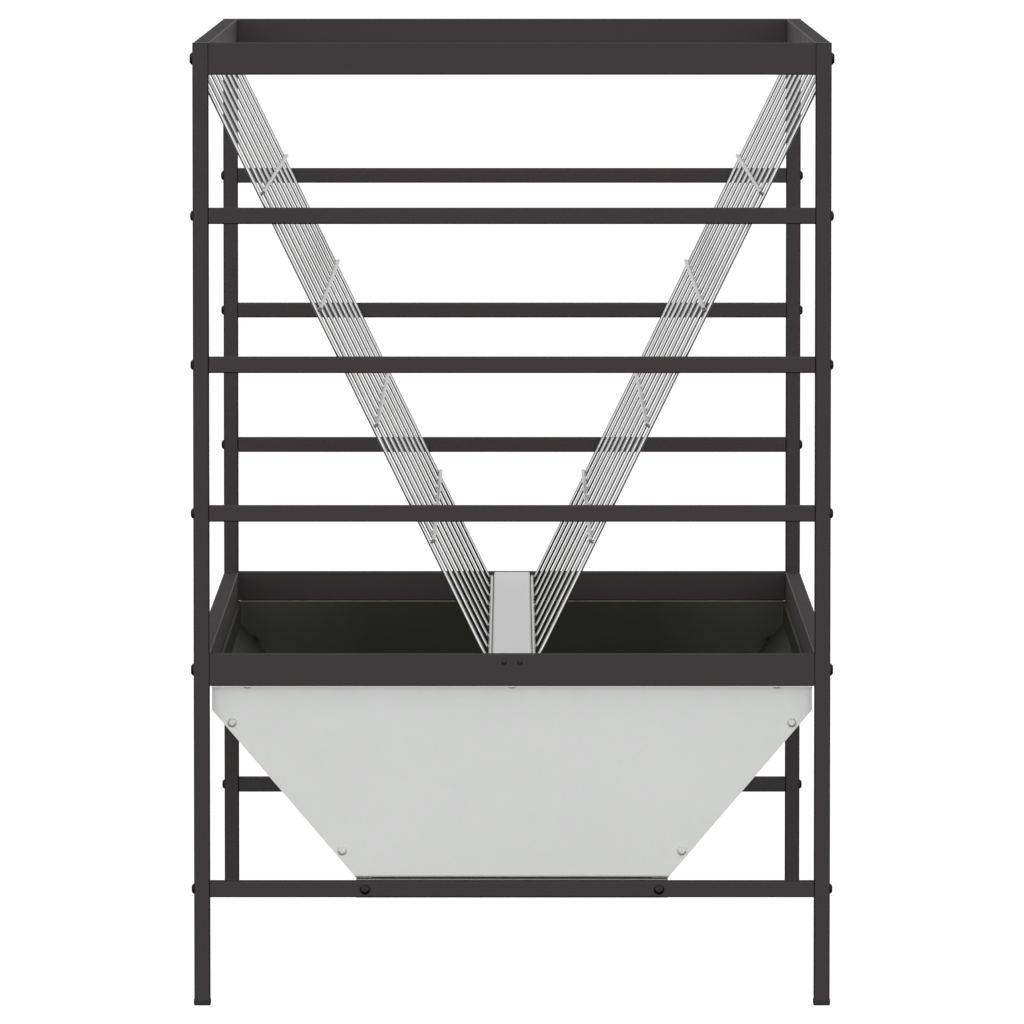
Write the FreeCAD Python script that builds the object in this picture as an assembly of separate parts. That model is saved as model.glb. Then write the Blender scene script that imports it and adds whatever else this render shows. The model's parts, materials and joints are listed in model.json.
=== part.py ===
"""Free-standing hay rack feeder: a square-tube frame with a V-shaped wire hay rack above a folded trough.

Millimetres, +Z up. X runs across the feeder, Y along it, and the origin is on the floor below its centre.
The frame is two welded side frames (posts and long bands) joined by bolted end members. The trough is
folded from galvanised sheet, and the two hay grids plug into the long top bands and the centre channel.
"""

import FreeCAD, Part

from collections import namedtuple
import math
import os

V = FreeCAD.Vector
Fastener = namedtuple("Fastener", "shank head head_height nut_flats nut_height")

# ---- Overall sizes ----
overall_width = 640.0  # over the outside faces of the posts, X
overall_length = 1080.0  # over the outside faces of the posts, Y
overall_height = 969.0  # floor to the top of the frame
rim_top = 355.0  # floor to the top of the trough rim

# ---- Frame tubes ----
tube = 16.0  # square tube of the posts and rails
tube_wall = 1.2
tube_corner = 1.5  # outside corner radius
band_height = 32.0  # upright size of the top and rim bands, which are as thick as the posts
bottom_rail_centre = 117.5  # height of the lowest end rail
end_rail_levels = ("lower", "middle", "upper")
member_gap = 0.2  # seam between a post and each member bolted to it

# ---- Plastic caps ----
foot_flange = 5.5  # height of the foot under the post
foot_flare = 0.5  # how far the foot stands out past the post
foot_round = 1.5
foot_plug_depth = 15.0
plug_lip = 1.0
plug_depth = 8.0
plug_clearance = 0.15  # between a plug or insert and the tube wall, each side

# ---- Threaded inserts in the ends of the bolted members ----
insert_length = 14.0
insert_corner = 1.0

# ---- Fasteners ----
band_bolt = Fastener(shank=6.0, head=12.4, head_height=2.8, nut_flats=10.0, nut_height=5.0)
rail_bolt = Fastener(shank=5.0, head=10.2, head_height=2.7, nut_flats=8.0, nut_height=4.0)
panel_screw = Fastener(shank=5.0, head=9.2, head_height=2.6, nut_flats=8.0, nut_height=4.0)
rim_screw = Fastener(shank=5.0, head=8.0, head_height=2.2, nut_flats=8.0, nut_height=4.0)
channel_screw = Fastener(shank=3.0, head=5.5, head_height=1.6, nut_flats=5.5, nut_height=2.4)
seam_screw = Fastener(shank=4.0, head=8.0, head_height=2.2, nut_flats=7.0, nut_height=3.2)
bolt_reach = 10.0  # length of a frame bolt inside its insert
rim_screw_reach = 9.0  # length of a rim screw above the sheet flange
nut_projection = 1.5  # shank showing past a nut
hole_clearance = 0.25  # clearance hole, radial
thread_clearance = 0.05  # radial gap that stands for the thread

# ---- Trough ----
sheet = 0.8
bend = 1.0  # inside bend radius
trough_side_gap = 2.0  # between the trough and the inside face of the long rims
lip_height = 25.5  # upright lip under the rim
floor_half_width = 157.0
floor_rail_gap = 2.0  # between the bottom rails and the trough's floor
end_flange_width = 15.0
end_flange_relief = 12.0  # end flange stops this far from a bend
end_flange_mitre = 10.0
floor_flange_width = 15.0
end_floor_flange = 12.0
floor_flange_overlap = 2.0  # the floor's end flanges reach this far below the bottom rails
flange_edge_margin = 1.0  # rim flange stops this far from the tube's outside face
panel_screw_inset = 7.0
panel_screw_from_top = 23.0
panel_screw_from_bottom = 30.0
floor_bolt_inset = 9.0
rim_screw_inset = 36.0  # outer rim screws of an end panel, from the panel's edge
rim_side_screws = 5
rim_side_screw_margin = 45.0
seam_screws_per_side = 4
seam_screw_margin = 60.0
seam_end_screw_spacing = 140.0

# ---- Centre channel ----
channel_width = 40.0
channel_depth = band_height - 3.0  # stays above the end panels' rim flanges
channel_sheet = 1.0
channel_tab_inset = 3.0
channel_tab_height = 17.0
channel_screw_spacing = 16.0
channel_screw_drop = 7.6  # below the rim's top

# ---- Hay grids ----
wire = 4.0
slope_wires = 9
cross_wires = 6
grid_end_margin = 5.0  # outer slope wires, from the inside face of the end frames
cross_wire_overhang = 4.0
grid_hole_drop = 0.6 * channel_depth  # grid holes in the channel, below its top
grid_tip_depth = 6.0  # wire tip above the underside of the top band
grid_foot_depth = 5.0  # wire tip inside the channel wall, across
grid_gap = 0.1  # between the lowest cross wire and the channel
grid_top_gap = 0.3  # between the highest cross wire and the top band
grid_hole_clearance = 0.5

# ---- Derived places ----
half_width = overall_width / 2
half_length = overall_length / 2
inner_x = half_width - tube
inner_y = half_length - tube
post_x = half_width - tube / 2
post_y = half_length - tube / 2
top_band_centre = overall_height - band_height / 2
top_band_bottom = overall_height - band_height
rim_centre = rim_top - band_height / 2
rim_bottom = rim_top - band_height
rail_gap = (top_band_bottom - rim_top - len(end_rail_levels) * tube) / (len(end_rail_levels) + 1)
rail_centres = [
    rim_top + (i + 1) * rail_gap + (i + 0.5) * tube for i in range(len(end_rail_levels))
]
trough_half_width = inner_x - trough_side_gap
flange_level = rim_bottom - sheet
lip_bottom = rim_bottom - lip_height
floor_height = bottom_rail_centre + tube / 2 + floor_rail_gap
floor_flange_bottom = bottom_rail_centre - tube / 2 - floor_flange_overlap

ENDS = (("front", -1), ("back", 1))
SIDES = (("left", -1), ("right", 1))


# ---- Shape helpers ----
def at(axis, u, v, w):
    """Point with u and v across the named axis and w along it."""
    return {"X": V(w, u, v), "Y": V(u, w, v), "Z": V(u, v, w)}[axis]


def rounded_outline(axis, points, radii, w):
    """Closed wire through (u, v) points, each corner rounded by its radius."""
    corners = []
    for i, (point, radius) in enumerate(zip(points, radii)):
        before, after = points[i - 1], points[(i + 1) % len(points)]
        to_before = V(before[0] - point[0], before[1] - point[1], 0).normalize()
        to_after = V(after[0] - point[0], after[1] - point[1], 0).normalize()
        corner = V(point[0], point[1], 0)
        if radius <= 0:
            corners.append((corner, None, corner))
            continue
        half_angle = to_before.getAngle(to_after) / 2
        reach = radius / math.tan(half_angle)
        bisector = (to_before + to_after).normalize()
        middle = corner + bisector * (radius / math.sin(half_angle) - radius)
        corners.append((corner + to_before * reach, middle, corner + to_after * reach))
    edges = []
    for i, (start, middle, end) in enumerate(corners):
        if middle is not None:
            arc = [at(axis, p.x, p.y, w) for p in (start, middle, end)]
            edges.append(Part.Arc(*arc).toShape())
        nxt = corners[(i + 1) % len(corners)][0]
        if end.distanceToPoint(nxt) > 1e-6:
            straight = Part.LineSegment(at(axis, end.x, end.y, w), at(axis, nxt.x, nxt.y, w))
            edges.append(straight.toShape())
    return Part.Wire(edges)


def prism(axis, points, radii, start, end):
    """Solid with a rounded outline, from start to end along the axis."""
    face = Part.Face(rounded_outline(axis, points, radii, start))
    return face.extrude(at(axis, 0, 0, end - start))


def bar(axis, centre, size, corner, start, end):
    """Rounded rectangular bar."""
    (cu, cv), (width, height) = centre, size
    u0, u1, v0, v1 = cu - width / 2, cu + width / 2, cv - height / 2, cv + height / 2
    return prism(axis, [(u0, v0), (u1, v0), (u1, v1), (u0, v1)], [corner] * 4, start, end)


def hollow(axis, centre, size, start, end):
    """Rectangular tube with the frame's wall and corner radius."""
    inside = (size[0] - 2 * tube_wall, size[1] - 2 * tube_wall)
    outer = bar(axis, centre, size, tube_corner, start, end)
    inner = bar(axis, centre, inside, max(tube_corner - tube_wall, 0.2), start - 1, end + 1)
    return outer.cut(inner)


def box(x, y, z):
    """Box from (low, high) pairs."""
    low = V(min(x), min(y), min(z))
    return Part.makeBox(max(x) - low.x, max(y) - low.y, max(z) - low.z, low)


def rod(radius, start, end):
    """Round bar between two points."""
    line = end - start
    return Part.makeCylinder(radius, line.Length, start, line)


def hole(diameter, clearance, point, direction, length):
    """Cutter for a round hole centred on a point, running length along the direction."""
    step = V(direction).normalize() * (length / 2)
    return rod(diameter / 2 + clearance, point - step, point + step)


def folded_sheet(axis, path, start, end, thickness=sheet):
    """Sheet lying to the left of a path of straight runs, with rounded bends."""
    points = [V(u, v, 0) for u, v in path]
    runs = [(b - a).normalize() for a, b in zip(points, points[1:])]
    lefts = [V(-run.y, run.x, 0) for run in runs]
    offset, near_radii, far_radii = [points[0] + lefts[0] * thickness], [0.0], [0.0]
    for i in range(1, len(runs)):
        mitre = (lefts[i - 1] + lefts[i]).normalize()
        offset.append(points[i] + mitre * (thickness / mitre.dot(lefts[i])))
        turns_left = runs[i - 1].cross(runs[i]).z > 0
        near_radii.append(bend + thickness if turns_left else bend)
        far_radii.append(bend if turns_left else bend + thickness)
    offset.append(points[-1] + lefts[-1] * thickness)
    outline = [(p.x, p.y) for p in points + offset[::-1]]
    radii = near_radii + [0.0] + ([*far_radii, 0.0])[::-1]
    return prism(axis, outline, radii, start, end)


def hexagon(flats, height, base):
    """Hexagonal prism standing on z = base."""
    corner = flats / math.sqrt(3)
    points = [(corner * math.cos(a), corner * math.sin(a)) for a in (math.pi / 3 * i for i in range(6))]
    return prism("Z", points, [0.0] * 6, base, base + height)


def headed(kind, length, domed, socket):
    """Bolt or screw along Z: the head stands on z = 0 and the shank runs down from it."""
    shank, head, height = kind.shank / 2, kind.head / 2, kind.head_height
    rim, flat = 0.3 * height, (0.45 if domed else 0.7) * head
    edge, crown = V(head, 0, rim), V(flat, 0, height)
    outline = [V(0, 0, -length), V(shank, 0, -length), V(shank, 0, 0), V(head, 0, 0), edge]
    edges = [Part.LineSegment(a, b).toShape() for a, b in zip(outline, outline[1:])]
    if domed:
        middle = (edge + crown) * 0.5 + V(height, 0, head - flat).normalize() * (0.15 * height)
        edges.append(Part.Arc(edge, middle, crown).toShape())
    else:
        edges.append(Part.LineSegment(edge, crown).toShape())
    edges.append(Part.LineSegment(crown, V(0, 0, height)).toShape())
    edges.append(Part.LineSegment(V(0, 0, height), V(0, 0, -length)).toShape())
    solid = Part.Face(Part.Wire(edges)).revolve(V(0, 0, 0), V(0, 0, 1), 360)
    depth = 0.6 * height
    if socket == "hex":
        return solid.cut(hexagon(0.65 * kind.shank, height, height - depth))
    slot, arm = 0.14 * kind.head, 0.28 * kind.head
    cross = box((-arm, arm), (-slot / 2, slot / 2), (height - depth, height + 1))
    cross = cross.fuse(box((-slot / 2, slot / 2), (-arm, arm), (height - depth, height + 1)))
    return solid.cut(cross)


def placed(shape, point, direction):
    """Copy of a shape with its origin at a point and its +Z turned to a direction."""
    copy = shape.copy()
    copy.Placement = FreeCAD.Placement(point, FreeCAD.Rotation(V(0, 0, 1), direction))
    return copy


def nut(kind):
    """Hexagon nut standing on z = 0."""
    bore = rod(kind.shank / 2 + thread_clearance, V(0, 0, -1), V(0, 0, kind.nut_height + 1))
    return hexagon(kind.nut_flats, kind.nut_height, 0.0).cut(bore)


def group(shapes):
    """Separate solids that share one node."""
    return Part.makeCompound(shapes)


def spread(count, first, last):
    """Evenly spaced values from first to last."""
    return [first + (last - first) * i / (count - 1) for i in range(count)]


# ---- Places shared by the pieces and their fasteners ----
def band_bolt_places():
    """Outside face of each post at its two bands: point and inward direction."""
    return [
        (V(sx * half_width, sy * post_y, z), V(-sx, 0, 0))
        for _, sx in SIDES
        for _, sy in ENDS
        for z in (top_band_centre, rim_centre)
    ]


def rail_bolt_places():
    """Outside face of each post at its rails."""
    return [
        (V(sx * half_width, sy * post_y, z), V(-sx, 0, 0))
        for _, sx in SIDES
        for _, sy in ENDS
        for z in [bottom_rail_centre, *rail_centres]
    ]


def slope_line():
    """Right-hand slope wire axis: its channel hole, unit direction upwards and unit normal into the rack."""
    foot = V(channel_width / 2, 0, rim_top - grid_hole_drop)
    head = V(post_x, 0, top_band_bottom)
    along = (head - foot).normalize()
    return foot, along, V(-along.z, 0, along.x)


def slope_wire_ys():
    """Y of each slope wire."""
    return spread(slope_wires, -inner_y + grid_end_margin, inner_y - grid_end_margin)


def slope_wire_ends(sx, y, extra=0.0):
    """Lower and upper end of one slope wire, made longer by extra at each end."""
    foot, along, _ = slope_line()
    low = foot - along * (grid_foot_depth / along.x + extra)
    high = foot + along * ((top_band_bottom + grid_tip_depth - foot.z) / along.z + extra)
    return [V(sx * p.x, y, p.z) for p in (low, high)]


def slope_corner(along, inset):
    """X and Z of a place on the trough's sloped side, along from its lower bend, inset from its outside."""
    low, high = V(floor_half_width, 0, floor_height), V(trough_half_width, 0, lip_bottom)
    run = (high - low).normalize()
    place = low + run * along + V(-run.z, 0, run.x) * inset
    return place.x, place.z


def slope_length():
    """Length of the trough's sloped side between its two bends."""
    return math.hypot(trough_half_width - floor_half_width, lip_bottom - floor_height)


def panel_screw_places():
    """X and Z of the screws that join an end panel to the side panels."""
    low = slope_corner(panel_screw_from_bottom, panel_screw_inset)
    high = slope_corner(slope_length() - panel_screw_from_top, panel_screw_inset)
    return [(sx * x, z) for _, sx in SIDES for x, z in (low, high)]


def rim_end_screw_xs():
    """X of the rim screws of an end panel."""
    outer = trough_half_width - rim_screw_inset
    return [-outer, 0.0, outer]


def rim_side_screw_ys():
    """Y of the rim screws of a side panel."""
    return spread(rim_side_screws, -inner_y + rim_side_screw_margin, inner_y - rim_side_screw_margin)


def seam_screw_places():
    """X and Y of the screws through the trough's floor."""
    side_x = floor_half_width - floor_flange_width / 2
    ys = spread(seam_screws_per_side, -inner_y + seam_screw_margin, inner_y - seam_screw_margin)
    sides = [(sx * side_x, y) for _, sx in SIDES for y in ys]
    end_y = inner_y - end_floor_flange / 2
    return sides + [(sx * seam_end_screw_spacing / 2, sy * end_y) for _, sx in SIDES for _, sy in ENDS]


def floor_bolt_places():
    """Outside face of each bottom rail at its floor bolts: point and inward direction."""
    x = floor_half_width - floor_bolt_inset
    return [
        (V(sx * x, sy * half_length, bottom_rail_centre), V(0, -sy, 0)) for _, sx in SIDES for _, sy in ENDS
    ]


def channel_screw_places():
    """Outside face of each end rim at its channel screws: point and inward direction."""
    z = rim_top - channel_screw_drop
    return [
        (V(sx * channel_screw_spacing / 2, sy * half_length, z), V(0, -sy, 0))
        for _, sx in SIDES
        for _, sy in ENDS
    ]


# ---- Frame pieces ----
def post(sx, sy):
    """Corner post, drilled for the bolts of the end members."""
    centre = (sx * post_x, sy * post_y)
    shape = hollow("Z", centre, (tube, tube), foot_flange, overall_height - plug_lip)
    drilled = [(kind, z) for kind, zs in post_bolt_levels() for z in zs]
    for kind, z in drilled:
        shape = shape.cut(hole(kind.shank, hole_clearance, V(*centre, z), V(1, 0, 0), 2 * tube))
    return shape


def post_bolt_levels():
    """Bolt kinds and the heights where they cross a post."""
    return ((band_bolt, (top_band_centre, rim_centre)), (rail_bolt, (bottom_rail_centre, *rail_centres)))


def foot_cap(sx, sy):
    """Plastic foot: a flared shoe under the post with a plug inside it."""
    centre = (sx * post_x, sy * post_y)
    width = tube + 2 * foot_flare
    shoe = bar("Z", centre, (width, width), tube_corner, 0.0, foot_flange)
    rounded = [e for e in shoe.Edges if e.BoundBox.ZMax < 1e-6]
    shoe = shoe.makeFillet(min(foot_round, foot_flange / 2), rounded)
    return shoe.fuse(plug(centre, foot_flange - 1.0, foot_flange + foot_plug_depth)).removeSplitter()


def post_plug(sx, sy):
    """Plastic plug that closes the top of a post."""
    centre = (sx * post_x, sy * post_y)
    lip_bottom_z = overall_height - plug_lip
    lip = bar("Z", centre, (tube, tube), tube_corner, lip_bottom_z, overall_height)
    top = [e for e in lip.Edges if e.BoundBox.ZMin > overall_height - 1e-6]
    lip = lip.makeFillet(0.4 * plug_lip, top)
    return lip.fuse(plug(centre, lip_bottom_z - plug_depth, overall_height - plug_lip / 2)).removeSplitter()


def plug(centre, start, end):
    """Square stem that fills a post's bore."""
    width = tube - 2 * tube_wall - 2 * plug_clearance
    return bar("Z", centre, (width, width), insert_corner, start, end)


def side_band(sx, centre_z):
    """Long band welded between the front and back posts of one side."""
    return hollow("Y", (sx * post_x, centre_z), (tube, band_height), -inner_y, inner_y)


def top_side_band(sx):
    """Long top band with slanted holes in its underside for the hay grid's tips."""
    shape = side_band(sx, top_band_centre)
    for y in slope_wire_ys():
        low, high = slope_wire_ends(sx, y)
        reach = (high - low).normalize() * (3 * tube_wall)
        middle = low + (high - low) * ((top_band_bottom + tube_wall / 2 - low.z) / (high.z - low.z))
        shape = shape.cut(rod(wire / 2 + grid_hole_clearance, middle - reach, middle + reach))
    return shape


def rim_side_band(sx):
    """Long trough rim, drilled underneath for the side panel's rim screws."""
    shape = side_band(sx, rim_centre)
    for y in rim_side_screw_ys():
        shape = shape.cut(rim_screw_hole(V(sx * post_x, y, rim_bottom)))
    return shape


def rim_screw_hole(point):
    """Cutter for a rim screw through the lower wall of a rim tube."""
    return hole(rim_screw.shank, thread_clearance, point, V(0, 0, 1), 4 * tube_wall)


def end_member(sy, centre_z, height):
    """Tube bolted between the two posts of one end."""
    reach = inner_x - member_gap
    return hollow("X", (sy * post_y, centre_z), (tube, height), -reach, reach)


def rim_end_band(sy):
    """End trough rim, drilled for the end panel's rim screws and the channel screws."""
    shape = end_member(sy, rim_centre, band_height)
    for x in rim_end_screw_xs():
        shape = shape.cut(rim_screw_hole(V(x, sy * post_y, rim_bottom)))
    for point, inward in channel_screw_places():
        if point.y * sy > 0:
            shape = shape.cut(hole(channel_screw.shank, hole_clearance, point, inward, 3 * tube))
    return shape


def bottom_rail(sy):
    """Lowest end rail, drilled for the trough floor's bolts."""
    shape = end_member(sy, bottom_rail_centre, tube)
    for point, inward in floor_bolt_places():
        if point.y * sy > 0:
            shape = shape.cut(hole(rail_bolt.shank, hole_clearance, point, inward, 3 * tube))
    return shape


def insert(sx, sy, centre_z, height, kind):
    """Threaded block pressed into the end of a bolted member."""
    end = sx * (inner_x - member_gap)
    start = end - sx * insert_length
    size = (tube - 2 * tube_wall - 2 * plug_clearance, height - 2 * tube_wall - 2 * plug_clearance)
    block = bar("X", (sy * post_y, centre_z), size, insert_corner, min(start, end), max(start, end))
    thread_start = V(end, sy * post_y, centre_z)
    return block.cut(hole(kind.shank, thread_clearance, thread_start, V(1, 0, 0), 3 * insert_length))


# ---- Trough ----
def side_panel(sx):
    """Trough side: rim flange, lip, slope and floor flange, and flanges at each end for the end panels."""
    skin_end = inner_y - sheet
    path = [
        (floor_half_width - floor_flange_width, floor_height),
        (floor_half_width, floor_height),
        (trough_half_width, lip_bottom),
        (trough_half_width, flange_level),
        (half_width - flange_edge_margin, flange_level),
    ]
    shape = folded_sheet("Y", path, -skin_end, skin_end)
    for _, sy in ENDS:
        inside = sorted((sy * skin_end, sy * (skin_end - sheet)))
        outline = end_flange_outline()
        shape = shape.fuse(prism("Y", outline, [0.0] * len(outline), *inside))
    shape = shape.removeSplitter()
    cutters = [hole(panel_screw.shank, hole_clearance, V(x, 0, z), V(0, 1, 0), overall_length)
               for x, z in panel_screw_places() if x > 0]
    cutters += [hole(rim_screw.shank, hole_clearance, V(post_x, y, flange_level), V(0, 0, 1), 6 * sheet)
                for y in rim_side_screw_ys()]
    cutters += [hole(seam_screw.shank, hole_clearance, V(x, y, floor_height), V(0, 0, 1), 6 * sheet)
                for x, y in seam_screw_places()[:2 * seam_screws_per_side] if x > 0]
    for cutter in cutters:
        shape = shape.cut(cutter)
    if sx < 0:
        shape = shape.mirror(V(0, 0, 0), V(1, 0, 0))
    return shape


def end_flange_outline():
    """X and Z outline of the end flange on a side panel's slope."""
    skin = sheet / 2  # the flange starts inside the skin so that the two fuse
    top = slope_length() - end_flange_relief
    return [
        slope_corner(end_flange_relief, skin),
        slope_corner(top, skin),
        slope_corner(top - end_flange_mitre, end_flange_width),
        slope_corner(end_flange_relief + end_flange_mitre, end_flange_width),
    ]


def end_panel(sy):
    """Trough end: a flat panel with a rim flange turned out and a floor flange turned in."""
    path = [
        (-half_length + flange_edge_margin, flange_level),
        (-inner_y, flange_level),
        (-inner_y, floor_height),
        (-inner_y + end_floor_flange, floor_height),
    ]
    blank = folded_sheet("X", path, -trough_half_width, trough_half_width)
    right = [
        (floor_half_width, floor_height),
        (trough_half_width, lip_bottom),
        (trough_half_width, rim_bottom),
    ]
    outline = right + [(-x, z) for x, z in reversed(right)]
    corner = bend + sheet
    radii = [corner, corner, 0.0, 0.0, corner, corner]
    shape = blank.common(prism("Y", outline, radii, -half_length, -inner_y + end_floor_flange + 1))
    clear_x = floor_half_width - floor_flange_width - flange_edge_margin
    for _, sx in SIDES:
        corner_box = box(
            (sx * clear_x, sx * overall_width),
            (-inner_y + sheet, 0),
            (floor_height - 1, floor_height + bend + sheet),
        )
        shape = shape.cut(corner_box)
    cutters = [hole(panel_screw.shank, hole_clearance, V(x, -inner_y, z), V(0, 1, 0), tube)
               for x, z in panel_screw_places()]
    cutters += [hole(rim_screw.shank, hole_clearance, V(x, -post_y, flange_level), V(0, 0, 1), 6 * sheet)
                for x in rim_end_screw_xs()]
    cutters += [hole(seam_screw.shank, hole_clearance, V(x, y, floor_height), V(0, 0, 1), 6 * sheet)
                for x, y in seam_screw_places()[2 * seam_screws_per_side:] if y < 0]
    for cutter in cutters:
        shape = shape.cut(cutter)
    if sy > 0:
        shape = shape.mirror(V(0, 0, 0), V(0, 1, 0))
    return shape


def trough_floor():
    """Flat floor sheet with an end flange turned down behind each bottom rail."""
    path = [
        (inner_y, floor_flange_bottom),
        (inner_y, floor_height),
        (-inner_y, floor_height),
        (-inner_y, floor_flange_bottom),
    ]
    shape = folded_sheet("X", path, -floor_half_width, floor_half_width)
    for x, y in seam_screw_places():
        place = V(x, y, floor_height)
        shape = shape.cut(hole(seam_screw.shank, hole_clearance, place, V(0, 0, 1), 6 * sheet))
    for point, inward in floor_bolt_places():
        shape = shape.cut(hole(rail_bolt.shank, hole_clearance, point, inward, 3 * tube))
    return shape


# ---- Rack ----
def centre_channel():
    """Inverted channel under the rack's apex, with a tab against each end rim and holes for the wires."""
    half, bottom = channel_width / 2, rim_top - channel_depth
    path = [(half, bottom), (half, rim_top), (-half, rim_top), (-half, bottom)]
    shape = folded_sheet("Y", path, -inner_y, inner_y, channel_sheet)
    for _, sy in ENDS:
        tab = box(
            (-half + channel_tab_inset, half - channel_tab_inset),
            (sy * inner_y, sy * (inner_y - channel_sheet)),
            (rim_top - channel_tab_height, rim_top - channel_sheet / 2),
        )
        shape = shape.fuse(tab)
    shape = shape.removeSplitter()
    foot, along, _ = slope_line()
    reach = along * (3 * channel_sheet / along.x)
    for sx in (-1, 1):
        for y in slope_wire_ys():
            low, high = foot - reach, foot + reach
            ends = V(sx * low.x, y, low.z), V(sx * high.x, y, high.z)
            shape = shape.cut(rod(wire / 2 + grid_hole_clearance, *ends))
    for point, inward in channel_screw_places():
        shape = shape.cut(hole(channel_screw.shank, hole_clearance, point, inward, 3 * tube))
    return shape


def cross_wire_centres():
    """X and Z of the right-hand grid's cross wires, which lie on the rack's inside of the slope wires."""
    foot, along, normal = slope_line()
    base = foot + normal * wire
    low_x = channel_width / 2 + grid_gap + wire / 2
    low = base + along * ((low_x - base.x) / along.x)
    high_z = top_band_bottom - grid_top_gap - wire / 2
    high = base + along * ((high_z - base.z) / along.z)
    centres = [low + (high - low) * t for t in spread(cross_wires, 0.0, 1.0)]
    return [(centre.x, centre.z) for centre in centres]


def hay_grid(sx):
    """One side of the rack: slope wires with cross wires welded on their inside."""
    wires = [rod(wire / 2, *slope_wire_ends(sx, y)) for y in slope_wire_ys()]
    reach = inner_y - grid_end_margin + cross_wire_overhang
    for x, z in cross_wire_centres():
        wires.append(rod(wire / 2, V(sx * x, -reach, z), V(sx * x, reach, z)))
    return group(wires)


# ---- Fasteners ----
def frame_bolts(kind, places, domed):
    """Bolts from the outside of the posts into the inserts."""
    bolt = headed(kind, tube + member_gap + bolt_reach, domed, "hex")
    return group([placed(bolt, point, -inward) for point, inward in places])


def inserts(kind, levels, height):
    """Inserts for every end member at the given heights."""
    return group([
        insert(sx, sy, z, height, kind) for _, sx in SIDES for _, sy in ENDS for z in levels
    ])


def bolted_through(kind, places, grip, domed, socket):
    """Bolts with their heads at the places, and the nuts that close the grip."""
    bolt = headed(kind, grip + kind.nut_height + nut_projection, domed, socket)
    ring = nut(kind)
    bolts = [placed(bolt, point, -inward) for point, inward in places]
    nuts = [placed(ring, point + V(inward) * grip, inward) for point, inward in places]
    return group(bolts), group(nuts)


def rim_screws():
    """Thread-forming screws up through the sheet flanges into the rim tubes."""
    screw = headed(rim_screw, sheet + rim_screw_reach, True, "cross")
    places = [V(x, sy * post_y, flange_level) for x in rim_end_screw_xs() for _, sy in ENDS]
    places += [V(sx * post_x, y, flange_level) for _, sx in SIDES for y in rim_side_screw_ys()]
    return group([placed(screw, point, V(0, 0, -1)) for point in places])


# ---- The whole feeder ----
def build():
    """Every node and its shape."""
    nodes = {}
    for end, sy in ENDS:
        for side, sx in SIDES:
            nodes[f"post_{end}_{side}"] = post(sx, sy)
            nodes[f"foot_cap_{end}_{side}"] = foot_cap(sx, sy)
            nodes[f"post_plug_{end}_{side}"] = post_plug(sx, sy)
        nodes[f"top_band_{end}"] = end_member(sy, top_band_centre, band_height)
        nodes[f"trough_rim_{end}"] = rim_end_band(sy)
        nodes[f"bottom_rail_{end}"] = bottom_rail(sy)
        for level, z in zip(end_rail_levels, rail_centres):
            nodes[f"end_rail_{end}_{level}"] = end_member(sy, z, tube)
        nodes[f"trough_end_panel_{end}"] = end_panel(sy)
    for side, sx in SIDES:
        nodes[f"top_band_{side}"] = top_side_band(sx)
        nodes[f"trough_rim_{side}"] = rim_side_band(sx)
        nodes[f"trough_side_panel_{side}"] = side_panel(sx)
        nodes[f"hay_grid_{side}"] = hay_grid(sx)
    nodes["trough_floor"] = trough_floor()
    nodes["centre_channel"] = centre_channel()
    nodes["band_bolts"] = frame_bolts(band_bolt, band_bolt_places(), False)
    nodes["rail_bolts"] = frame_bolts(rail_bolt, rail_bolt_places(), True)
    nodes["band_inserts"] = inserts(band_bolt, (top_band_centre, rim_centre), band_height)
    nodes["rail_inserts"] = inserts(rail_bolt, (bottom_rail_centre, *rail_centres), tube)
    nodes["floor_bolts"], nodes["floor_bolt_nuts"] = bolted_through(
        rail_bolt, floor_bolt_places(), tube + sheet, True, "hex"
    )
    panel_places = [(V(x, sy * inner_y, z), V(0, -sy, 0)) for x, z in panel_screw_places() for _, sy in ENDS]
    nodes["end_panel_screws"], nodes["end_panel_nuts"] = bolted_through(
        panel_screw, panel_places, 2 * sheet, True, "cross"
    )
    nodes["rim_flange_screws"] = rim_screws()
    nodes["channel_screws"], nodes["channel_nuts"] = bolted_through(
        channel_screw, channel_screw_places(), tube + channel_sheet, True, "cross"
    )
    seam_places = [(V(x, y, floor_height + sheet), V(0, 0, -1)) for x, y in seam_screw_places()]
    nodes["floor_seam_screws"], nodes["floor_seam_nuts"] = bolted_through(
        seam_screw, seam_places, 2 * sheet, True, "cross"
    )
    return nodes


os.makedirs("parts", exist_ok=True)
for name, shape in build().items():
    if not shape.isValid() or not shape.Solids:
        raise ValueError(f"{name} is not a valid solid")
    shape.exportStep(f"parts/{name}.step")
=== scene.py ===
"""Looks of the hay rack feeder: finishes for the frame, rack and trough, the welds, and a plain pale studio."""

import json
import math
import random

import bmesh
import bpy
from mathutils import Matrix, Vector


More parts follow.
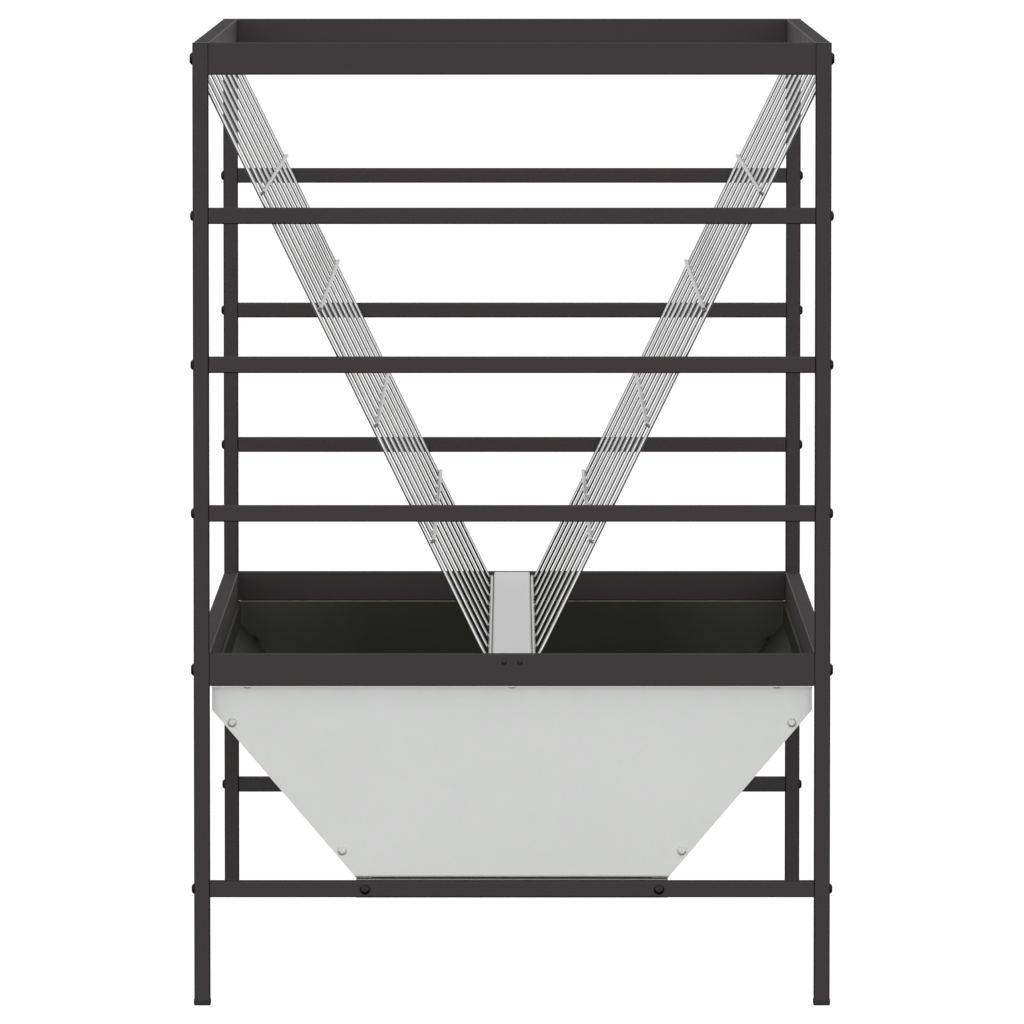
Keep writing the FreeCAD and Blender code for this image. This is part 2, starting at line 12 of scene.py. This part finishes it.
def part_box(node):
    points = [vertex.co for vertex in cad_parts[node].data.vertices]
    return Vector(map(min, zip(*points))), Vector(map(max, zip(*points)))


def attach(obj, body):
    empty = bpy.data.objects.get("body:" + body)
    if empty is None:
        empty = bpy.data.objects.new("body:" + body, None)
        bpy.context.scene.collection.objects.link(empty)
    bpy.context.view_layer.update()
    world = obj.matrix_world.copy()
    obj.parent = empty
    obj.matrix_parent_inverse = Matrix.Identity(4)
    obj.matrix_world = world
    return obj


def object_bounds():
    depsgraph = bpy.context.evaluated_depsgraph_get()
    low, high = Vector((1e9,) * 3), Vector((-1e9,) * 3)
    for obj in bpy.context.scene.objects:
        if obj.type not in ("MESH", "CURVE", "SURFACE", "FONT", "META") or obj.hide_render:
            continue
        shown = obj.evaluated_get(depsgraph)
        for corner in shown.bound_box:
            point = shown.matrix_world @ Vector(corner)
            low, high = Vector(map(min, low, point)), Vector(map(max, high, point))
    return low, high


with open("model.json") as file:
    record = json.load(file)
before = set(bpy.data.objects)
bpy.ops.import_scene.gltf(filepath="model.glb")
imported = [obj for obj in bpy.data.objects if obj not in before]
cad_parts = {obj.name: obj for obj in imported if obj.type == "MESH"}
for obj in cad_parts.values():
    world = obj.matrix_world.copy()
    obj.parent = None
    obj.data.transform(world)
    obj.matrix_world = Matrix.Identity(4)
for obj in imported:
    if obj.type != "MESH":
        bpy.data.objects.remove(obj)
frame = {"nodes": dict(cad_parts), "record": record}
cad_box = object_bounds()
nodes = frame["nodes"]

MM = 0.001
ENDS = {"front": -1, "back": 1}
SIDES = {"left": -1, "right": 1}


# ---- Shader writing ----
class Value:
    """A shader output that takes part in Python arithmetic."""

    def __init__(self, finish, socket):
        self.finish, self.socket = finish, socket

    def math(self, operation, *others):
        """A Math node on this value and others."""
        return self.finish.node("ShaderNodeMath", {"operation": operation}, [self, *others])

    def __add__(self, other):
        return self.math("ADD", other)

    def __mul__(self, other):
        return self.math("MULTIPLY", other)

    def __sub__(self, other):
        return self.math("SUBTRACT", other)

    def __rsub__(self, other):
        return self.finish.node("ShaderNodeMath", {"operation": "SUBTRACT"}, [other, self])

    def __neg__(self):
        return self.math("MULTIPLY", -1.0)

    def __gt__(self, other):
        return self.math("GREATER_THAN", other)

    def __lt__(self, other):
        return self.math("LESS_THAN", other)

    __radd__, __rmul__ = __add__, __mul__


class Finish:
    """A node tree, of a material or of the world."""

    def __init__(self, owner):
        owner.use_nodes = True
        self.owner, self.tree = owner, owner.node_tree
        self.tree.nodes.clear()

    def node(self, kind, settings=None, inputs=(), output=0):
        """Adds a node, sets it, then fills its sockets by name or in order, and returns one output."""
        node = self.tree.nodes.new(kind)
        for key, value in (settings or {}).items():
            setattr(node, key, value)
        pairs = inputs.items() if isinstance(inputs, dict) else enumerate(inputs)
        for key, value in pairs:
            socket = self.find(node.inputs, key)
            if isinstance(value, Value):
                self.tree.links.new(value.socket, socket)
            else:
                socket.default_value = value
        return Value(self, self.find(node.outputs, output)) if node.outputs else None

    @staticmethod
    def find(sockets, key):
        """A socket in use, by name or by place."""
        used = [s for s in sockets if s.enabled]
        return used[key] if isinstance(key, int) else next(s for s in used if s.name == key)

    def place(self):
        """Object coordinates in metres."""
        return self.node("ShaderNodeTexCoord", output="Object")

    def stretch(self, scale):
        """Object coordinates scaled unevenly."""
        return self.node("ShaderNodeMapping", inputs={"Vector": self.place(), "Scale": scale})

    def noise(self, scale, detail, place=None):
        """Noise from 0 to 1."""
        inputs = {"Vector": place or self.place(), "Scale": scale, "Detail": detail}
        return self.node("ShaderNodeTexNoise", {}, inputs, "Fac")

    def cell_colour(self, scale):
        """One random colour per Voronoi cell."""
        return self.node("ShaderNodeTexVoronoi", {}, {"Vector": self.place(), "Scale": scale}, "Color")

    def mix(self, factor, a, b):
        """Colour between a and b."""
        inputs = {"Factor": factor, "A": rgba(a), "B": rgba(b)}
        return self.node("ShaderNodeMix", {"data_type": "RGBA"}, inputs, "Result")

    def spread(self, value, low, high, to_low=0.0, to_high=1.0):
        """Moves a value from one range to another, held inside it."""
        inputs = {"Value": value, "From Min": low, "From Max": high, "To Min": to_low, "To Max": to_high}
        return self.node("ShaderNodeMapRange", {}, inputs, "Result")

    def axis(self, vector, name):
        """One component of a vector."""
        return self.node("ShaderNodeSeparateXYZ", {}, [vector], name)

    def normal(self):
        """Surface direction in the scene's frame, which is also the feeder's at rest."""
        return self.node("ShaderNodeNewGeometry", output="Normal")

    def bump(self, height, distance, strength):
        """Surface direction disturbed by a height."""
        inputs = {"Height": height, "Distance": distance, "Strength": strength}
        return self.node("ShaderNodeBump", {}, inputs)

    def coat(self, **sockets):
        """Principled shader."""
        named = {key.replace("_", " "): value for key, value in sockets.items()}
        named["Base Color"] = rgba(named["Base Color"])
        return self.node("ShaderNodeBsdfPrincipled", {}, named)

    def show(self, shader):
        """Puts a shader on the output and gives the material."""
        self.node("ShaderNodeOutputMaterial", {}, {"Surface": shader})
        return self.owner

    def surface(self, **sockets):
        """Principled shader on the output."""
        return self.show(self.coat(**sockets))


def rgba(colour):
    """A plain colour with its alpha, or a link as it is."""
    return colour if isinstance(colour, Value) else (*colour, 1.0)


def new_finish(name):
    """Empty material to write nodes into."""
    return Finish(bpy.data.materials.new(name))


# ---- Finishes ----
def tube_corner_shade(f):
    """Mask of painted shade: 1 on the upright and lower rounded corners of a tube, 0 on its faces and beside
    the bands' seams.
    """
    normal, z = f.normal(), f.axis(f.place(), "Z")
    flatness = 0.0
    for name in "XYZ":
        flatness = f.axis(normal, name).math("ABSOLUTE").math("MAXIMUM", flatness)
    tilt = f.axis(normal, "Z")
    (rim_low, rim_high), (band_low, _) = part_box("trough_rim_front"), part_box("top_band_front")
    beside_band = (z > band_low.z) + (z > rim_low.z) * (z < rim_high.z)
    closed = (tilt.math("ABSOLUTE") < 0.1) * beside_band
    return f.spread(flatness, 0.94, 0.99, 1.0, 0.0) * (tilt < 0.2) * (1 - closed)


def powder_coat():
    """Anthracite powder coat: satin orange peel, slightly cloudy, with painted shade on its rounded corners and
    on its tops, which are also rougher.
    """
    f = new_finish("powder_coat")
    peel = f.noise(700.0, 2.0)
    grain = f.noise(3200.0, 1.0)
    cloud = f.noise(9.0, 3.0)
    fleck = f.spread(f.noise(2100.0, 0.0), 0.66, 0.72)
    colour = f.mix(cloud, (0.057, 0.0478, 0.0498), (0.067, 0.0573, 0.0593))
    colour = f.mix(fleck * 0.2, colour, (0.090, 0.080, 0.082))
    # painted shade: the rounded corners are painted near black, standing in for the dark they reflect
    colour = f.mix(tube_corner_shade(f) * 0.75, colour, (0.007, 0.006, 0.006))
    # painted shade: faces that look straight up are painted darker, and are made rougher as well
    top = f.axis(f.normal(), "Z") > 0.9
    colour = f.mix(top * 0.6, colour, (0.018, 0.017, 0.017))
    rough = f.spread(cloud, 0.3, 0.7, 0.46, 0.54) + grain * 0.06 + top * 0.3
    height = peel * 0.8 + grain * 0.2
    return f.surface(
        Base_Color=colour, Roughness=rough, Specular_IOR_Level=0.22, Normal=f.bump(height, 0.00009, 0.6)
    )


def moulded_plastic():
    """Black polyethylene caps with a spark-eroded grain."""
    f = new_finish("moulded_plastic")
    grain = f.noise(2400.0, 2.0)
    scuff = f.noise(160.0, 3.0)
    colour = f.mix(f.spread(scuff, 0.45, 0.75), (0.011, 0.011, 0.0115), (0.026, 0.026, 0.026))
    rough = f.spread(scuff, 0.3, 0.7, 0.42, 0.58)
    return f.surface(Base_Color=colour, Roughness=rough, Normal=f.bump(grain, 0.00012, 0.5))


def spangle(f):
    """Crystal tone of the zinc, from 0 to 1."""
    crystal = f.axis(f.cell_colour(150.0), "X")
    fine = f.axis(f.cell_colour(420.0), "Y")
    return crystal * 0.6 + fine * 0.4


def galvanised_coat(f, shade):
    """Pale galvanised skin with a soft spangle and rolling marks, darkened where shade is under 1."""
    tone = spangle(f)
    streak = f.noise(1.0, 3.0, f.stretch((220.0, 3.0, 220.0)))
    cloud = f.noise(7.0, 3.0)
    light = f.mix(tone, (0.80, 0.812, 0.80), (0.83, 0.842, 0.83))
    light = f.mix(f.spread(cloud, 0.35, 0.75) * 0.3, light, (0.765, 0.778, 0.765))
    light = f.mix(1 - shade, light, (0.10, 0.10, 0.10))
    rough = f.spread(tone, 0.1, 0.9, 0.42, 0.47) + (streak - 0.5) * 0.06
    bump = f.bump(tone * 0.5 + streak * 0.5, 0.00002, 0.4)
    return f.coat(Base_Color=light, Metallic=0.72, Roughness=rough, Normal=bump)


def galvanised_channel():
    """Galvanised sheet of the centre channel, painted darker as shade where it is bent to face sideways."""
    f = new_finish("galvanised_channel")
    lean = f.axis(f.normal(), "X").math("ABSOLUTE")
    # painted shade on the faces that lean sideways
    return f.show(galvanised_coat(f, f.spread(lean, 0.35, 0.5, 1.0, 0.6)))


def inside_of_trough(f):
    """Where the painted shade goes: 1 on the trough's inner faces, 0 on its outside and on its end flanges."""
    place, normal = f.place(), f.normal()
    x, y, z = (f.axis(place, n) for n in "XYZ")
    nx, ny, nz = (f.axis(normal, n) for n in "XYZ")
    low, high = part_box("trough_side_panel_right")
    end_zone = y.math("ABSOLUTE") > high.y - 3 * MM
    across = f.spread(-(nx * x.math("SIGN")), 0.1, 0.3) * (1 - end_zone)
    along = f.spread(-(ny * y.math("SIGN")), 0.5, 0.8)
    upward = f.spread(nz, 0.3, 0.5) * (1 - end_zone * (z > high.z - 2 * MM))
    return (across + along + upward).math("MINIMUM", 1.0)


def inside_shade_coat(f):
    """Painted shade for the inside of the trough: dark zinc, with the end walls painted paler than the slopes,
    most toward the sides.
    """
    tone, cloud = spangle(f), f.noise(5.0, 3.0)
    upright = f.axis(f.normal(), "Y").math("ABSOLUTE") > 0.7
    # painted light: the end walls are painted paler, most toward the sides
    beside = f.spread(f.axis(f.place(), "X").math("ABSOLUTE"), 0.16, 0.27)
    slope = f.mix(cloud, (0.026, 0.0265, 0.022), (0.042, 0.043, 0.036))
    wall = f.mix(cloud, (0.040, 0.041, 0.034), (0.060, 0.062, 0.050))
    wall = f.mix(beside, wall, (0.092, 0.094, 0.083))
    dark = f.mix(upright, slope, wall)
    dark = f.mix(tone * 0.06, dark, (0.075, 0.078, 0.064))
    rough = f.spread(cloud, 0.3, 0.7, 0.55, 0.68)
    bump = f.bump(tone, 0.00003, 0.4)
    return f.coat(Base_Color=dark, Roughness=rough, Specular_IOR_Level=0.05, Normal=bump)


def galvanised_trough():
    """Galvanised sheet of the trough: pale outside, with painted shade along the end panels' feet, and painted
    dark inside as shade.
    """
    f = new_finish("galvanised_trough")
    low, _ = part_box("trough_end_panel_back")
    facing_end = f.spread(f.axis(f.normal(), "Y").math("ABSOLUTE"), 0.2, 0.5)
    # painted shade: the end-facing sheet is darkened just above the end panels' feet, in the seam over the
    # lower rail
    end_foot_shade = f.spread(f.axis(f.place(), "Z"), low.z - 1.5 * MM, low.z + 3.5 * MM, 0.65, 0.0)
    clean, shaded_inside = galvanised_coat(f, 1 - facing_end * end_foot_shade), inside_shade_coat(f)
    # the inside takes the painted shade coat in place of the zinc
    return f.show(f.node("ShaderNodeMixShader", {}, [inside_of_trough(f), clean, shaded_inside]))


def worn_tone(tone):
    """A zinc tone where it is slightly worn."""
    return tuple(0.86 * c for c in tone)


def zinc_coat(f, tone, worn, rough, scale, metal=1.0):
    """Bright zinc plate with faint drawing marks, mottled from tone to worn."""
    mottle = f.noise(scale, 3.0)
    fine = f.noise(scale * 9.0, 2.0)
    colour = f.mix(f.spread(mottle, 0.35, 0.7), tone, worn)
    roughness = f.spread(mottle, 0.3, 0.7, rough, rough + 0.05) + fine * 0.03
    bump = f.bump(fine, 0.00001, 0.3)
    return f.coat(Base_Color=colour, Metallic=metal, Roughness=roughness, Normal=bump)


def bright_zinc(name, tone, rough, scale):
    """Zinc plate all over."""
    f = new_finish(name)
    return f.show(zinc_coat(f, tone, worn_tone(tone), rough, scale))


def zinc_wire():
    """Zinc-plated drawn wire, dark where the cross wires are sheared off."""
    f = new_finish("zinc_wire")
    _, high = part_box("hay_grid_right")
    sheared = f.axis(f.place(), "Y").math("ABSOLUTE") > high.y - 0.3 * MM
    tone = f.mix(sheared, (0.70, 0.708, 0.70), (0.12, 0.12, 0.12))
    worn = f.mix(sheared, (0.60, 0.608, 0.60), (0.10, 0.10, 0.10))
    return f.show(zinc_coat(f, tone, worn, 0.09, 130.0))


def trough_screw_zinc():
    """Zinc plate outside the end panels, with the same painted shade as the sheet inside the trough."""
    f = new_finish("trough_screw_zinc")
    _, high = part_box("trough_floor")
    inside = f.axis(f.place(), "Y").math("ABSOLUTE") < high.y - 0.4 * MM
    zinc = zinc_coat(f, SCREW_TONE, worn_tone(SCREW_TONE), 0.30, 600.0, metal=0.4)
    return f.show(f.node("ShaderNodeMixShader", {}, [inside, zinc, inside_shade_coat(f)]))


def black_steel():
    """Black coated bolts, semi-gloss."""
    f = new_finish("black_bolt")
    wear = f.noise(420.0, 3.0)
    grain = f.noise(2600.0, 1.0)
    colour = f.mix(f.spread(wear, 0.55, 0.8), (0.008, 0.008, 0.009), (0.024, 0.024, 0.026))
    rough = f.spread(wear, 0.3, 0.7, 0.20, 0.30)
    return f.surface(Base_Color=colour, Metallic=0.2, Roughness=rough, Normal=f.bump(grain, 0.00004, 0.4))


SCREW_TONE = (0.93, 0.93, 0.92)
FINISHES = {
    "powder_coated_tube": powder_coat(),
    "black_plastic": moulded_plastic(),
    "zinc_wire": zinc_wire(),
    "galvanised_sheet": galvanised_trough(),
    "black_bolt": black_steel(),
    "zinc_screw": bright_zinc("zinc_screw", SCREW_TONE, 0.22, 600.0),
}
END_PANEL_ZINC = trough_screw_zinc()
OWN_FINISHES = {
    "centre_channel": galvanised_channel(),
    "channel_screws": FINISHES["powder_coated_tube"],
    "end_panel_screws": END_PANEL_ZINC,
    "end_panel_nuts": END_PANEL_ZINC,
}
WELD_FINISH = bright_zinc("zinc_weld", (0.62, 0.61, 0.59), 0.38, 900.0)


def paint(piece, material):
    """Gives a piece one material."""
    piece.data.materials.clear()
    piece.data.materials.append(material)


def dress_cad_nodes():
    """Every carried-over node gets its own finish, or that of its record slot."""
    slots = {row["node"]: row["material_slot"] for row in frame["record"]["subparts"]}
    for name, piece in nodes.items():
        paint(piece, OWN_FINISHES.get(name) or FINISHES[slots[name]])


# ---- Pieces ----
BEAD_LEG = 1.8 * MM  # of the fillet welds
BEAD_INSET = 2.0 * MM  # bead ends, from the band's outer corners
BEAD_WIRE_GAP = 6.0 * MM  # clear of the grid wires at the top band's inner side
RIPPLE = 0.9 * MM  # pitch of the ripples along a bead
NUGGET = 1.45 * MM  # fused metal where wires cross


def new_object(name, shape):
    """Turns a bmesh into an object in the scene."""
    mesh = bpy.data.meshes.new(name)
    shape.to_mesh(mesh)
    shape.free()
    made = bpy.data.objects.new(name, mesh)
    bpy.context.scene.collection.objects.link(made)
    return made


def finished(name, shape, material):
    """Turns a bmesh into a piece that rides on the feeder."""
    piece = new_object(name, shape)
    piece.data.shade_smooth()
    paint(piece, material)
    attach(piece, "root")


def weld_bead(shape, start, end, up, rng):
    """Rippled fillet weld along an inside corner from start to end; up bisects the corner."""
    line = end - start
    along = line.normalized()
    side = along.cross(up).normalized()
    turns = max(4, round(line.length / RIPPLE))
    made = bmesh.ops.create_circle(shape, cap_ends=True, segments=8, radius=BEAD_LEG)
    turn = Matrix((side, up, along)).transposed().to_4x4()
    turn.translation = start
    bmesh.ops.transform(shape, matrix=turn, verts=made["verts"])
    edges = [e for e in shape.edges if all(v in made["verts"] for v in e.verts)]
    for i in range(turns):
        out = bmesh.ops.extrude_edge_only(shape, edges=edges)["geom"]
        verts = [g for g in out if isinstance(g, bmesh.types.BMVert)]
        bmesh.ops.translate(shape, vec=line / turns, verts=verts)
        centre = start + line * ((i + 1) / turns)
        swell = 1.0 + (0.10 if i % 2 else -0.06) + rng.uniform(-0.03, 0.03)
        for vert in verts:
            vert.co = centre + (vert.co - centre).normalized() * (BEAD_LEG * swell)
        made_edges = [g for g in out if isinstance(g, bmesh.types.BMEdge)]
        edges = [e for e in made_edges if all(v in verts for v in e.verts)]
    bmesh.ops.contextual_create(shape, geom=edges)


def frame_welds():
    """Welds where the long bands meet the posts."""
    rng = random.Random(11)
    shape = bmesh.new()
    for side, sx in SIDES.items():
        for end, sy in ENDS.items():
            post_low, post_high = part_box(f"post_{end}_{side}")
            face_y = post_low.y if sy > 0 else post_high.y
            rim_low, rim_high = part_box(f"trough_rim_{side}")
            band_low, band_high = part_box(f"top_band_{side}")
            up = Vector((0, -sy, 1)).normalized()
            start = Vector((rim_low.x + BEAD_INSET, face_y, rim_high.z))
            stop = Vector((rim_high.x - BEAD_INSET, face_y, rim_high.z))
            weld_bead(shape, start, stop, up, rng)
            down = Vector((0, -sy, -1)).normalized()
            inner, outer = (band_low.x, band_high.x) if sx > 0 else (band_high.x, band_low.x)
            start = Vector((inner + sx * BEAD_WIRE_GAP, face_y, band_low.z))
            stop = Vector((outer - sx * BEAD_INSET, face_y, band_low.z))
            weld_bead(shape, start, stop, down, rng)
    bmesh.ops.recalc_face_normals(shape, faces=shape.faces)
    finished("frame_welds", shape, FINISHES["powder_coated_tube"])


def grid_lines(side):
    """Ends of each wire of a grid, read from its separate solids: (slope wires, cross wires)."""
    shape = bmesh.new()
    shape.from_mesh(nodes[f"hay_grid_{side}"].data)
    bmesh.ops.remove_doubles(shape, verts=shape.verts, dist=1e-6)
    shape.verts.ensure_lookup_table()
    seen, slope, cross = set(), [], []
    for first in shape.verts:
        if first in seen:
            continue
        island, queue = [], [first]
        seen.add(first)
        while queue:
            vert = queue.pop()
            island.append(vert.co.copy())
            for edge in vert.link_edges:
                other = edge.other_vert(vert)
                if other not in seen:
                    seen.add(other)
                    queue.append(other)
        axis = 1 if spread_of(island, 1) > spread_of(island, 2) else 2
        (cross if axis == 1 else slope).append(end_centres(island, axis))
    shape.free()
    return slope, cross


def spread_of(points, axis):
    """Extent of points along an axis."""
    values = [p[axis] for p in points]
    return max(values) - min(values)


def end_centres(points, axis):
    """Centres of the two ends of a straight wire."""
    middle = sum(points, Vector()) / len(points)
    low = [p for p in points if p[axis] < middle[axis]]
    high = [p for p in points if p[axis] >= middle[axis]]
    return sum(low, Vector()) / len(low), sum(high, Vector()) / len(high)


def grid_welds(side):
    """Small fused nuggets where the grid's wires cross."""
    rng = random.Random(23 if side == "left" else 29)
    slope, cross = grid_lines(side)
    shape = bmesh.new()
    for low, high in slope:
        direction = (high - low).normalized()
        for start, _ in cross:
            on_cross = Vector((start.x, low.y, start.z))
            on_slope = low + direction * (on_cross - low).dot(direction)
            touch = (on_slope + on_cross) / 2
            size = NUGGET * rng.uniform(0.92, 1.1)
            made = bmesh.ops.create_icosphere(shape, subdivisions=2, radius=size)
            turn = direction.to_track_quat("Z", "Y").to_matrix().to_4x4()
            grow = Matrix.Diagonal((1.0, 1.25 * rng.uniform(0.9, 1.1), 1.25, 1.0))
            place = Matrix.Translation(touch) @ turn @ grow
            bmesh.ops.transform(shape, matrix=place, verts=made["verts"])
    finished(f"grid_welds_{side}", shape, WELD_FINISH)


# ---- Studio ----
WHITE = (1.0, 1.0, 1.0)
FRONT_LIGHT = 1.30
SIDE_LIGHT = 0.05
BACK_LIGHT = 0.6
TOP_LIGHT = 0.72
GROUND_LIGHT = 0.03
FLOOR_REACH = 400.0  # far enough to meet the horizon
FLOOR_GLOW = 0.99
FILL_SIZE = 3.0
FILL_LIGHTS = [  # name, place from the feeder's middle, power
    ("left_fill", (-4.5, 1.0, 2.0), 40.0),
    ("right_fill", (4.5, 1.0, 2.0), 40.0),
    ("back_fill", (0.5, 4.5, 2.5), 60.0),
]
CAMERA_DISTANCE = 9.970  # from the front posts
CAMERA_HEIGHT = 1.2166
CAMERA_PITCH = math.radians(4.12)
LENS, SENSOR = 350.1, 36.0


def studio_floor():
    """Pale floor that runs out of sight."""
    shape = bmesh.new()
    bmesh.ops.create_grid(shape, x_segments=1, y_segments=1, size=FLOOR_REACH)
    floor = new_object("studio_floor", shape)
    f = new_finish("studio_floor")
    cloud = f.noise(0.8, 2.0)
    colour = f.mix(cloud, (0.05, 0.05, 0.05), (0.06, 0.06, 0.06))
    paint(floor, f.surface(
        Base_Color=colour, Roughness=0.9, Emission_Color=rgba(WHITE), Emission_Strength=FLOOR_GLOW
    ))
    floor.visible_glossy = False
    floor.visible_diffuse = False


def studio_light():
    """Sky bright in front, above and behind, dark at the sides and below, with three panels to fill in."""
    scene = bpy.context.scene
    scene.world = bpy.data.worlds.new("studio")
    f = Finish(scene.world)
    toward = f.node("ShaderNodeTexCoord", output="Generated")
    y, z = f.axis(toward, "Y"), f.axis(toward, "Z")
    horizon = f.spread(-y, 0.35, 0.6, SIDE_LIGHT, FRONT_LIGHT) + f.spread(y, 0.5, 0.75, 0.0, BACK_LIGHT)
    above = f.spread(z, 0.12, 0.55)
    below = f.spread(-z, 0.05, 0.45)
    dome = horizon * (1 - above) + above * TOP_LIGHT
    dome = dome * (1 - below) + below * GROUND_LIGHT
    seen = f.node("ShaderNodeLightPath", output="Is Camera Ray")
    strength = dome * (1 - seen) + seen
    back = f.node("ShaderNodeBackground", {}, {"Color": rgba(WHITE), "Strength": strength})
    f.node("ShaderNodeOutputWorld", {}, {"Surface": back})
    low, high = cad_box
    centre = (low + high) / 2
    for name, offset, power in FILL_LIGHTS:
        soft_panel(name, centre + Vector(offset), centre, power)


def soft_panel(name, place, target, power):
    """Square soft light aimed at a point, which leaves no highlight."""
    light = bpy.data.lights.new(name, "AREA")
    light.shape, light.size, light.energy = "SQUARE", FILL_SIZE, power
    panel = bpy.data.objects.new(name, light)
    panel.location = place
    panel.rotation_mode = "QUATERNION"
    panel.rotation_quaternion = (target - place).to_track_quat("-Z", "Y")
    panel.visible_glossy = False
    bpy.context.scene.collection.objects.link(panel)


def studio_camera():
    """Long lens a little above the feeder, square on to its front end."""
    post_low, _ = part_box("post_front_left")
    data = bpy.data.cameras.new("camera")
    data.sensor_width, data.lens = SENSOR, LENS
    data.clip_start, data.clip_end = 0.1, 2000.0
    camera = bpy.data.objects.new("camera", data)
    camera.location = (0.0, post_low.y - CAMERA_DISTANCE, CAMERA_HEIGHT)
    camera.rotation_euler = (math.pi / 2 - CAMERA_PITCH, 0, 0)
    bpy.context.scene.collection.objects.link(camera)
    bpy.context.scene.camera = camera


studio_camera()
dress_cad_nodes()
frame_welds()
for grid_side in SIDES:
    grid_welds(grid_side)
studio_floor()
studio_light()
bpy.context.scene.view_settings.view_transform = "Standard"
